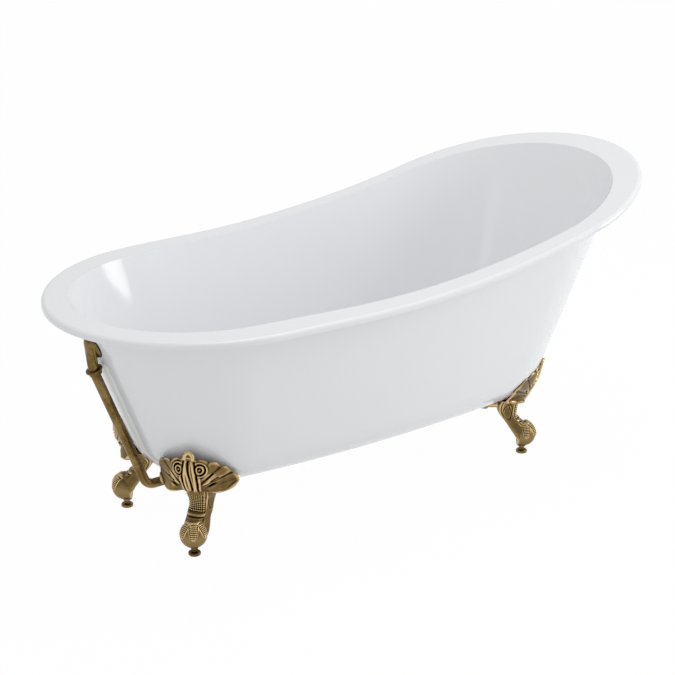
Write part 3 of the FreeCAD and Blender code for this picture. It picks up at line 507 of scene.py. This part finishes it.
# leg, by height: how far out its back and its front lie, and its half width
LEG_BACK = (
    (22, -13), (41, -14), (52, -21), (68, -32), (82, -41),
    (94, -49), (111, -62), (121, -66.5), (134, -66), (152, -52),
)
LEG_FRONT = (
    (22, 8), (52, 14), (68, 12), (78, 7), (86, -1), (92, -8),
    (98, -14), (104, -17), (116, -17), (126, -15.5), (136, -13), (152, -12),
)
LEG_HALF = (
    (22, 14), (30, 20), (42, 30), (58, 34), (70, 33), (82, 31),
    (94, 32), (110, 32), (124, 34.5), (136, 38.5), (152, 40),
)
LEG_FOOT, KNEE, LEG_TOP = 22.3, 121.0, 152.0
LEG_ABOVE_BASE = 14.0
# share of the half width at the middle of a section, and how much of it the front loses
SECTION_WIDTH, FRONT_LOSS = 0.81, 0.19
LEG_RING = squared_ring(LEG_ROUND)
LEG_GAP = 0.6

# carving of the leg: a field of beads in front, a cuff below it
BEAD_COLUMNS, BEAD_ROWS = 8, 9
BEADS_HALF, BEADS_FOOT, BEADS_TALL = 0.9, 98.0, 42.0
CUFF, CUFF_GROOVE = 93.5, 88.5

# paw: the ball's middle, its radius, where its underside is cut flat, and the span it is drawn over
PAW_OUT, PAW_HEIGHT, BALL_RADIUS, BALL_FLAT = 2.5, 51.0, 31.0, 21.5
BALL_FROM, BALL_TO = -64.0, 88.0
PAW_TURN = {"low": 24.0, "high": -24.0}

# toes: direction and size of each; then, from knuckle to nail, half width and thickness,
# bed over the ball, rise, and ribs
TOES = ((-56.0, 1.1), (0.0, 1.2), (56.0, 1.1))
TOE_HALF = ((0.0, 6.0), (0.1, 10.0), (0.22, 10.4), (0.5, 9.8), (0.75, 7.6), (0.9, 4.6), (1.0, 0.5))
TOE_TALL = ((0.0, 3.0), (0.12, 8.2), (0.24, 7.6), (0.5, 6.6), (0.85, 6.2), (1.0, 0.6))
TOE_BED, TOE_FLAT = 26.6, 22.4
TOE_START, TOE_SWEEP = 84.0, 98.0
TOE_RIBS, RIBS_FROM, RIBS_LONG = 8, 0.28, 0.58

# leaf: how far out its middle lies by height, then its lower and upper edges by share of the wing
LEFT_WING, RIGHT_WING = 92.0, 83.0
LEAF_LINE = {
    "low": ((140, -12), (145, -8), (157, 5), (172, 12), (188, 17), (206, 20), (230, 18), (256, 15)),
    "high": ((140, -3), (149, 6), (170, 18), (195, 31), (221, 38.5), (243, 43), (256, 47)),
}
LEAF_FOOT = {
    "low": (
        (-1.0, 178), (-0.95, 165), (-0.85, 153), (-0.7, 147), (-0.4, 146), (-0.2, 149), (-0.09, 146),
        (0.0, 153), (0.09, 143), (0.2, 149), (0.4, 146), (0.75, 146), (0.88, 150), (0.96, 158), (1.0, 166),
    ),
    "high": (
        (-1.0, 168), (-0.8, 161), (-0.6, 155), (-0.4, 150), (-0.2, 145), (-0.09, 140), (0.0, 149),
        (0.09, 140), (0.2, 145), (0.4, 150), (0.6, 155), (0.8, 161), (1.0, 168),
    ),
}
LEAF_TOP = {
    "low": (
        (-1.0, 191), (-0.92, 207), (-0.75, 222), (-0.5, 228), (-0.25, 235), (0.0, 241),
        (0.25, 233), (0.5, 227), (0.66, 220), (0.82, 207), (0.94, 190), (1.0, 178),
    ),
    "high": (
        (-1.0, 208), (-0.9, 219), (-0.7, 229), (-0.4, 236), (0.0, 243),
        (0.4, 236), (0.7, 229), (0.9, 219), (1.0, 208),
    ),
}
# below these heights, left and right, the wings hang straight down off the wall
LEAF_HANGS_BELOW = {"low": (184.0, 168.0), "high": (176.0, 176.0)}
LEAF_EDGE = {"low": 10.0, "high": 5.0}
LEAF_SWELL = 1.15
LEAF_THICK, LEAF_BEVEL, LEAF_BORDER = 6.5, 3.2, 7.0
LEAF_GAP, LEAF_THIN = 0.5, 1.2
TOP_LOBES, TOP_LOBE_RISE, TOP_LOBE_DROP, LOBED_FROM = 3.0, 5.0, 1.5, 0.2

# carving of the leaf: middles of a wing's scroll and fan, and of the dark point under them
SCROLL_ACROSS, SCROLL_HEIGHT, SCROLL_PITCH = 23.0, 211.0, 7.2
FAN_ACROSS, FAN_HEIGHT = 8.0, 160.0
POINT_ACROSS, POINT_HEIGHT = 40.0, 168.0

# arched knob over the leaf, curls at its corners, tongue under the bowl
KNOB_HALF, KNOB_FOOT, KNOB_RISE, KNOB_PAST = 9.8, 236.0, 13.4, 0.25
KNOB_BAR = {"low": 4.4, "high": 3.2}
KNOB_TIP, KNOB_SUNK, KNOB_GAP = 0.3, 1.5, 0.3
CURL_BAR, CURL_FROM, CURL_LONG = 4.4, 0.80, 0.17
CURL_UP, CURL_OUT = 5.0, 1.5
TONGUE_HALF, TONGUE_THICK = 19.0, 10.0
# the tongue's sections: how far out each lies, and how much smaller it is all round
TONGUE = ((-116.6, 0.6), (-117.0, 0.0), (-24.0, 0.0), (-22.0, 0.0))
TONGUE_SECTION = ((-1, -1), (-0.9, -1), (0.9, -1), (1, -1), (1, 1), (0.9, 1), (-0.9, 1), (-1, 1))


def leg_skin(place):
    """The S-shaped leg: beaded front, cuff, and a leaf outline on each flank."""
    stretch = (place.base + LEG_ABOVE_BASE - KNEE) / (LEG_TOP - KNEE)
    rows = []
    for level in np.linspace(LEG_FOOT, LEG_TOP, LEG_ROWS):
        back, front, half = drawn(LEG_BACK, level), drawn(LEG_FRONT, level), drawn(LEG_HALF, level)
        z = level if level < KNEE else KNEE + (level - KNEE) * stretch
        row = []
        for x, y, out, aside in LEG_RING:
            relief = leg_relief(x, y, level)
            u = (front + back) / 2.0 + (front - back) / 2.0 * x + relief * out
            v = half * (SECTION_WIDTH - FRONT_LOSS * x) * y + relief * aside
            if z > place.base:
                u = max(u, place.wall(v, z) + LEG_GAP)
            row.append((u, v, z))
        rows.append(row)
    return rows


def leg_relief(x, y, z):
    """Carving of the leg at a height; x is 1 in front and -1 behind, y is 1 and -1 on the flanks."""
    relief = 0.0
    if x > 0.55:
        beads_top = BEADS_FOOT + BEADS_TALL
        field = smoothly(0.93, 0.87, abs(y))
        field *= smoothly(BEADS_FOOT - 1.0, BEADS_FOOT + 1.0, z)
        field *= smoothly(beads_top + 1.0, beads_top - 1.0, z)
        columns = abs(math.sin(math.pi * BEAD_COLUMNS / 2.0 * (y / BEADS_HALF + 1.0)))
        beads = columns * abs(math.sin(math.pi * BEAD_ROWS * (z - BEADS_FOOT) / BEADS_TALL))
        in_front = smoothly(0.55, 0.75, x)
        relief += field * (3.2 * beads**0.6 - 2.2)
        relief += 1.7 * hump(z - CUFF, 3.0) * in_front
        relief -= 1.4 * hump(z - CUFF_GROOVE, 1.5) * in_front
    if abs(y) > 0.7:
        outline = math.hypot((x + 0.05) / 0.5, (z - 118.0 - 8.0 * x) / 17.0)
        vein = x - 0.35 * math.sin((z - 96.0) / 12.0)
        behind, ahead = x + 0.66, x - 0.72
        dimple = math.hypot((x - 0.62) / 0.22, (z - 83.0) / 6.0)
        relief -= 0.9 * hump(outline - 1.0, 0.12)
        relief -= 0.7 * hump(vein, 0.07) * smoothly(1.0, 0.8, outline)
        relief -= 1.5 * hump(behind, 0.06) * smoothly(100.0, 108.0, z)
        relief -= 1.2 * hump(ahead, 0.05) * smoothly(92.0, 98.0, z)
        relief -= 1.8 * hump(dimple, 0.9)
    return relief


def ball_skin():
    """The ball that the claw grips, cut straight behind and flat below."""
    rows = []
    for rise in np.linspace(BALL_FROM, BALL_TO, BALL_ROWS):
        up = math.radians(rise)
        row = []
        for turn in turns(BALL_ROUND):
            u = PAW_OUT + BALL_RADIUS * math.cos(up) * math.cos(turn)
            v = BALL_RADIUS * math.cos(up) * math.sin(turn)
            z = PAW_HEIGHT + BALL_RADIUS * math.sin(up)
            row.append((max(u, drawn(LEG_BACK, z)), v, max(z, BALL_FLAT)))
        rows.append(row)
    return rows


def toe_skin(turn, size):
    """One toe over the ball: smooth knuckle, raised borders, ribs, pointed nail."""
    ahead = math.radians(turn)
    face = (math.cos(ahead), math.sin(ahead))
    rows = []
    for t in np.linspace(0.0, 1.0, TOE_ROWS):
        rise = math.radians(TOE_START - TOE_SWEEP * t)
        half, tall = size * drawn(TOE_HALF, t), size * drawn(TOE_TALL, t)
        ribbed = smoothly(0.27, 0.32, t) * smoothly(0.88, 0.82, t)
        row = []
        for around in turns(TOE_ROUND):
            c, s = math.cos(around), math.sin(around)
            x = math.copysign(abs(c) ** 0.7, c) * tall
            y = math.copysign(abs(s) ** 0.8, s) * half
            across = abs(y) / half
            front = smoothly(0.0, 0.3, c)
            ribs = abs(math.sin(math.pi * TOE_RIBS * (t - RIBS_FROM) / RIBS_LONG)) ** 0.7
            x += front * ribbed * smoothly(0.72, 0.6, across) * (2.4 * ribs - 2.4)
            x -= front * 2.0 * hump(across - 0.74, 0.07) * smoothly(0.2, 0.27, t) * smoothly(0.97, 0.9, t)
            x -= front * 2.4 * size * hump(t - 0.245, 0.018)
            radial = TOE_BED + x
            flat = radial * math.cos(rise)
            u = PAW_OUT + face[0] * flat - face[1] * y
            v = face[1] * flat + face[0] * y
            row.append((u, v, max(PAW_HEIGHT + radial * math.sin(rise), TOE_FLAT)))
        rows.append(row)
    return rows


def leaf_relief(v, z, t):
    """Carving of the acanthus leaf: cleft, S-shaped ribs, scrolls, slots and fan."""
    side = abs(v)
    lobes = smoothly(9.0, 22.0, side)

    cleft = v - 2.0 * math.sin((z - 145.0) / 15.0)
    relief = -7.5 * hump(cleft, 2.2) * smoothly(0.0, 0.05, t) * smoothly(0.93, 0.82, t)
    fold = 6.5 + 4.5 * math.sin(math.pi * min(t / 0.9, 1.0))
    relief += 3.0 * hump(side - fold, 2.4) * smoothly(0.96, 0.84, t)
    relief -= 4.6 * hump(side - fold - 5.2, 1.5) * smoothly(0.96, 0.84, t)
    relief += 2.0 * hump(side - fold - 9.4, 1.8) * smoothly(0.7, 0.5, t)

    scroll = math.hypot(side - SCROLL_ACROSS, (z - SCROLL_HEIGHT) * 0.85)
    rings = math.cos(2.0 * math.pi * scroll / SCROLL_PITCH)
    relief += 2.9 * rings * smoothly(19.0, 13.0, scroll) * lobes

    fan = math.atan2(z - FAN_HEIGHT, side - FAN_ACROSS)
    away = math.hypot(side - FAN_ACROSS, z - FAN_HEIGHT)
    open_leaf = smoothly(16.0, 26.0, away) * lobes * smoothly(14.0, 20.0, scroll)
    upper = smoothly(0.34, 0.52, fan)
    relief += open_leaf * upper * (4.6 * abs(math.cos((fan - 0.5) * 5.4)) ** 0.7 - 2.8)
    slots = open_leaf * smoothly(56.0, 50.0, away) * smoothly(33.0, 38.0, away) * upper
    relief -= slots * 3.6 * smoothly(0.3, 0.8, math.cos(fan * 24.0)) * smoothly(1.35, 1.2, fan)
    relief -= open_leaf * 3.2 * hump(fan - 0.44, 0.035)

    beside = side - POINT_ACROSS
    point = math.hypot(beside / 9.0, (z - POINT_HEIGHT - 0.4 * beside) / 4.0)
    relief -= 5.0 * hump(point, 0.8) * lobes
    relief += 2.4 * hump(t - 0.03, 0.03)
    return relief


def along_wing(share):
    """Distance across the foot at a share of a wing, -1 at the left tip and 1 at the right."""
    return share * (LEFT_WING if share < 0.0 else RIGHT_WING)


def leaf_at(place, share, z):
    """How far out the leaf's surface lies before it is carved."""
    hang = max(z, LEAF_HANGS_BELOW[place.name][0 if share < 0.0 else 1])
    hang = z + (hang - z) * smoothly(0.25, 0.7, abs(share))
    edge = LEAF_EDGE[place.name]
    middle = drawn(LEAF_LINE[place.name], z) - place.wall(0.0, z) - edge
    swell = middle * math.cos(math.pi / 2.0 * share) ** LEAF_SWELL
    return place.wall(along_wing(share), hang) + edge + swell


def leaf_skin(place):
    """The leaf that lies against the bowl's corner and carries it, a plate with a rounded edge."""
    rows = []
    for t in np.linspace(0.0, 1.0, LEAF_ROWS):
        front, back = [], []
        for share in np.linspace(-1.0, 1.0, LEAF_WIDE):
            v = along_wing(share)
            low, high = drawn(LEAF_FOOT[place.name], share), drawn(LEAF_TOP[place.name], share)
            if abs(share) > LOBED_FROM:
                turn = math.pi * TOP_LOBES * (abs(share) - LOBED_FROM) / (1.0 - LOBED_FROM)
                high += TOP_LOBE_RISE * abs(math.sin(turn)) - TOP_LOBE_DROP
            z = low + (high - low) * t
            rim = min(t * (high - low), (1.0 - t) * (high - low), (1.0 - abs(share)) * RIGHT_WING)
            full = math.sqrt(smoothly(0.0, 1.0, rim / LEAF_BEVEL))
            body = leaf_at(place, share, z) - LEAF_THICK * 0.5
            wall = place.wall(v, z) + LEAF_GAP
            carved = leaf_relief(v, z, t) * full * smoothly(0.0, LEAF_BORDER, rim)
            outer = body + LEAF_THICK * 0.5 * full + carved
            front.append((max(outer, wall + LEAF_THIN * full), v, z))
            back.append((max(body - LEAF_THICK * 0.5 * full, wall), v, z))
        rows.append(front + back[::-1])
    return rows


def knob_skin(place):
    """The thick arch that crowns the leaf, open below."""
    bar = KNOB_BAR[place.name]
    line = []
    for turn in np.linspace(-KNOB_PAST, math.pi + KNOB_PAST, KNOB_ROWS):
        v, z = KNOB_HALF * math.cos(turn), KNOB_FOOT + KNOB_RISE * math.sin(turn)
        u = max(drawn(LEAF_LINE[place.name], z) - KNOB_SUNK, place.wall(v, z) + bar + KNOB_GAP)
        line.append((u, v, z))
    return tube(line, [KNOB_TIP] + [bar] * (KNOB_ROWS - 2) + [KNOB_TIP])


def curl_skin(place, side):
    """The curled corner of a wing."""
    line, radii = [], []
    for t in np.linspace(0.0, 1.0, CURL_ROWS):
        share = side * (CURL_FROM + CURL_LONG * t)
        z = drawn(LEAF_FOOT[place.name], share) + CURL_UP
        line.append((leaf_at(place, share, z) + CURL_OUT, along_wing(share), z))
        radii.append(CURL_BAR * math.sqrt(max(math.sin(math.pi * t), 0.004)))
    return tube(line, radii)


def tongue_skin(place):
    """The tongue that the bolt draws up to the bowl's boss; its end is dished a little."""
    rows = []
    middle = place.boss - TONGUE_THICK / 2.0
    for u, less in TONGUE:
        half, thick = TONGUE_HALF - less, TONGUE_THICK / 2.0 - less
        rows.append([(u, v * half, middle + z * thick) for v, z in TONGUE_SECTION])
    return rows


def claw_foot(place):
    """The two feet at one end of the bath, the far one a mirror image of the near one."""
    casting = Casting()
    casting.skin(leaf_skin(place), reach=5, depth=1.9, capped=False)
    casting.skin(leg_skin(place), reach=3, depth=0.9)
    # the ball is set darker: painted shade under the leg and claws
    casting.skin(ball_skin(), depth=1.4, shade_shift=-0.12)
    for turn, size in TOES:
        casting.skin(toe_skin(turn + PAW_TURN[place.name], size), reach=4, depth=0.8)
    casting.skin(knob_skin(place), depth=1.0)
    for side in (-1.0, 1.0):
        casting.skin(curl_skin(place, side), depth=1.4)
    # the tongue is set darker: painted shade under the bowl
    casting.skin(tongue_skin(place), reach=1, shade_shift=-0.2)
    for side, lay in place.sides():
        node = f"claw_foot_{place.name}_{side}"
        casting.laid(f"carved_foot_{place.name}_{side}", lay, "bath", "antique_brass_casting", node)


# pad under a foot: (radius, height) up its outside and over the dished top
PAD = (
    (0.0, 0.0), (12.6, 0.0), (14.0, 1.6), (14.0, 6.2), (12.4, 8.0),
    (9.2, 8.0), (8.2, 6.4), (5.2, 6.2), (5.15, 3.0), (0.0, 3.0),
)


def levelling_pads(place):
    for side, lay in place.sides():
        disc = Casting()
        disc.skin(turning(PAD, 1.3), depth=1.2, capped=False)
        name = f"{place.name}_{side}"
        disc.laid(f"turned_pad_{name}", lay, f"pad_{name}", "antique_brass", f"levelling_pad_{name}")


FOOT_PLACES = (FootPlace("low", PAD_LOW_X), FootPlace("high", PAD_HIGH_X))
for foot in FOOT_PLACES:
    claw_foot(foot)
for foot in FOOT_PLACES:
    levelling_pads(foot)

# ---------------------------------------------------------------- overflow elbow and collar

# where the overflow leaves the low end, and the lean of the wall there
OVERFLOW_Z, LOW_LEAN = 474.0, 0.3906
LEAN_LENGTH = math.hypot(1.0, LOW_LEAN)
OFF_WALL = Vector((-1.0, 0.0, -LOW_LEAN)) / LEAN_LENGTH
DOWN_WALL = Vector((LOW_LEAN, 0.0, -1.0)) / LEAN_LENGTH
OVERFLOW_X = LOW_END - LOW_LEAN * (OVERFLOW_Z - BOWL_BASE)


def by_overflow(point):
    """(out from the wall, across, down along it) in the bath's own frame."""
    base = Vector((OVERFLOW_X, 0.0, OVERFLOW_Z))
    return (base + OFF_WALL * point[0] + Vector((0.0, point[1], 0.0)) + DOWN_WALL * point[2]) * MM


# hood, from flange to neck: its middle out from the wall and down it, its half width and depth,
# and the slope of its sections
HOOD_OUT = ((0.0, 3.0), (0.16, 6.5), (0.34, 10.0), (0.55, 15.0), (0.72, 18.6), (1.0, 20.8))
HOOD_DOWN = ((0.0, -10.0), (0.16, -6.0), (0.34, 6.0), (0.55, 21.0), (0.72, 34.0), (1.0, 46.0))
HOOD_WIDE = ((0.0, 21.0), (0.16, 20.4), (0.34, 18.0), (0.55, 14.6), (0.72, 12.6), (1.0, 12.4))
HOOD_DEEP = ((0.0, 18.0), (0.16, 15.4), (0.34, 12.4), (0.55, 11.6), (0.72, 12.0), (1.0, 12.4))
HOOD_SLOPE = ((0.0, 8.0), (0.34, 50.0), (0.6, 72.0), (0.75, 88.0), (1.0, 90.0))

# turned (radius, height) corners: the flange off the wall, the collar down round the pipe
FLANGE = (
    (0.0, 1.4), (27.0, 1.4), (27.0, 3.2), (25.4, 3.6), (25.0, 4.9), (22.6, 5.2), (21.5, 6.6), (0.0, 6.6),
)
COLLAR = (
    (11.0, 0.0), (14.8, 0.0), (19.0, 1.6), (19.0, 5.4), (15.6, 7.4),
    (14.6, 8.4), (14.6, 14.0), (13.6, 15.0), (11.1, 15.0),
)
COLLAR_OUT, COLLAR_DOWN = 21.2, 44.5
HOOD_ROWS, HOOD_ROUND = 84, 72
CREASE_DEEP, CREASE_WIDE = 2.4, 0.13


def hood_skin():
    """The elbow's hood: broad at the flange, drawn into a round neck, creased on each flank."""
    rows = []
    for t in np.linspace(0.0, 1.0, HOOD_ROWS):
        out, down = drawn(HOOD_OUT, t), drawn(HOOD_DOWN, t)
        wide, deep = drawn(HOOD_WIDE, t), drawn(HOOD_DEEP, t)
        slope = math.radians(drawn(HOOD_SLOPE, t))
        row = []
        for turn in turns(HOOD_ROUND):
            c, s = math.cos(turn), math.sin(turn)
            crease = 0.55 * math.cos(math.pi * t) - 0.1
            groove = CREASE_DEEP * hump(c - crease, CREASE_WIDE)
            groove *= smoothly(0.04, 0.2, t)
            groove *= smoothly(0.97, 0.8, t)
            x, y = (deep - groove) * c, (wide - groove) * s
            row.append((out + x * math.sin(slope), y, down - x * math.cos(slope)))
        rows.append(row)
    return rows


elbow = Casting()
elbow.skin(hood_skin(), depth=0.9)
flange = [[(p.z, p.x, p.y) for p in row] for row in turning(FLANGE, 0.7)]
elbow.skin(flange, depth=0.9, capped=False)
elbow.laid("hooded_elbow", by_overflow, "bath", "antique_brass", "overflow_elbow")

collar = Casting()
rings = [[(COLLAR_OUT + p.x, p.y, COLLAR_DOWN + p.z) for p in row] for row in turning(COLLAR, 1.4)]
collar.skin(rings, depth=1.0, capped=False)
collar.laid("turned_collar", by_overflow, "bath", "antique_brass", "overflow_slip_nut")

# ---------------------------------------------------------------- studio

FLOOR_REACH, FLOOR_DROP, FLOOR_GLOW = 14.0, 0.0005, 0.975
DAYLIGHT = 0.64
# where each softbox hangs, the point it faces, its width and height, and its watts
SOFTBOXES = {
    "overhead_softbox": ((0.1, -0.3, 3.1), (0.0, 0.0, 0.4), 2.6, 1.6, 27.0),
    "right_softbox": ((3.0, -2.2, 1.7), (0.1, 0.0, 0.4), 1.4, 1.8, 40.0),
    "left_softbox": ((-2.9, -1.3, 1.3), (-0.4, 0.0, 0.3), 0.7, 1.8, 3.0),
}
# the photograph's viewpoint: place, direction in degrees, focal length and width in its pixels
EYE, EYE_YAW, EYE_PITCH = (-2.2018, -2.9748, 1.6730), 35.811, -19.695
FOCAL_PIXELS, PHOTO_PIXELS, SENSOR_WIDTH = 1642.06, 675.0, 36.0


def studio_white(name, glowing):
    """Matt white that the camera and reflections see near pure white, with the object's shadow kept."""
    finish = Finish(name, Roughness=0.9)
    finish.feed(finish.skin, {"Base Color": STUDIO_PAPER, "Specular IOR Level": 0.0})
    matt = Value(finish, finish.skin.outputs[0])
    glow = finish.node("ShaderNodeEmission", {}, {"Color": STUDIO_WHITE, "Strength": 1.0})
    share = finish.seen_by("Is Camera Ray", "Is Glossy Ray", "Is Transmission Ray") * glowing
    finish.surfaced(finish.node("ShaderNodeMixShader", {}, {0: share, 1: matt, 2: glow}))
    return finish.material


def floor():
    mesh = bpy.data.meshes.new("studio_floor")
    corners = [(x * FLOOR_REACH, y * FLOOR_REACH, 0) for x, y in ((-1, -1), (1, -1), (1, 1), (-1, 1))]
    mesh.from_pydata(corners, [], [(0, 1, 2, 3)])
    piece = bpy.data.objects.new("studio_floor", mesh)
    bpy.context.scene.collection.objects.link(piece)
    mesh.materials.append(studio_white("studio_floor_white", FLOOR_GLOW))
    piece.location.z = -FLOOR_DROP


def softbox(name, place, target, width, height, power):
    """A rectangular softbox that faces a point on the bath."""
    light = bpy.data.lights.new(name, "AREA")
    light.shape = "RECTANGLE"
    light.size, light.size_y, light.energy = width, height, power
    lamp = bpy.data.objects.new(name, light)
    lamp.location = place
    lamp.rotation_euler = (Vector(target) - Vector(place)).to_track_quat("-Z", "Y").to_euler()
    bpy.context.scene.collection.objects.link(lamp)


def daylight(strength):
    """Even studio fill, with white behind the bath."""
    world = bpy.data.worlds.new("studio_fill")
    world.use_nodes = True
    nodes = Nodes(world.node_tree)
    fill = nodes.node("ShaderNodeBackground", {}, {"Color": STUDIO_FILL, "Strength": strength})
    white = nodes.node("ShaderNodeBackground", {}, {"Color": STUDIO_WHITE})
    seen = nodes.seen_by("Is Camera Ray")
    output = nodes.tree.nodes.new("ShaderNodeOutputWorld")
    nodes.feed(output, {"Surface": nodes.node("ShaderNodeMixShader", {}, {0: seen, 1: fill, 2: white})})
    bpy.context.scene.world = world


def camera():
    """The photograph's own viewpoint."""
    lens = bpy.data.cameras.new("photo_camera")
    lens.sensor_width = SENSOR_WIDTH
    lens.lens = FOCAL_PIXELS / PHOTO_PIXELS * SENSOR_WIDTH
    lens.clip_end = 60.0
    view = bpy.data.objects.new("photo_camera", lens)
    view.location = EYE
    yaw, pitch = math.radians(EYE_YAW), math.radians(EYE_PITCH)
    forward = Vector((math.sin(yaw) * math.cos(pitch), math.cos(yaw) * math.cos(pitch), math.sin(pitch)))
    view.rotation_euler = forward.to_track_quat("-Z", "Y").to_euler()
    bpy.context.scene.collection.objects.link(view)
    bpy.context.scene.camera = view


floor()
daylight(DAYLIGHT)
for box, setting in SOFTBOXES.items():
    softbox(box, *setting)
camera()

bpy.context.scene.view_settings.view_transform = "Standard"
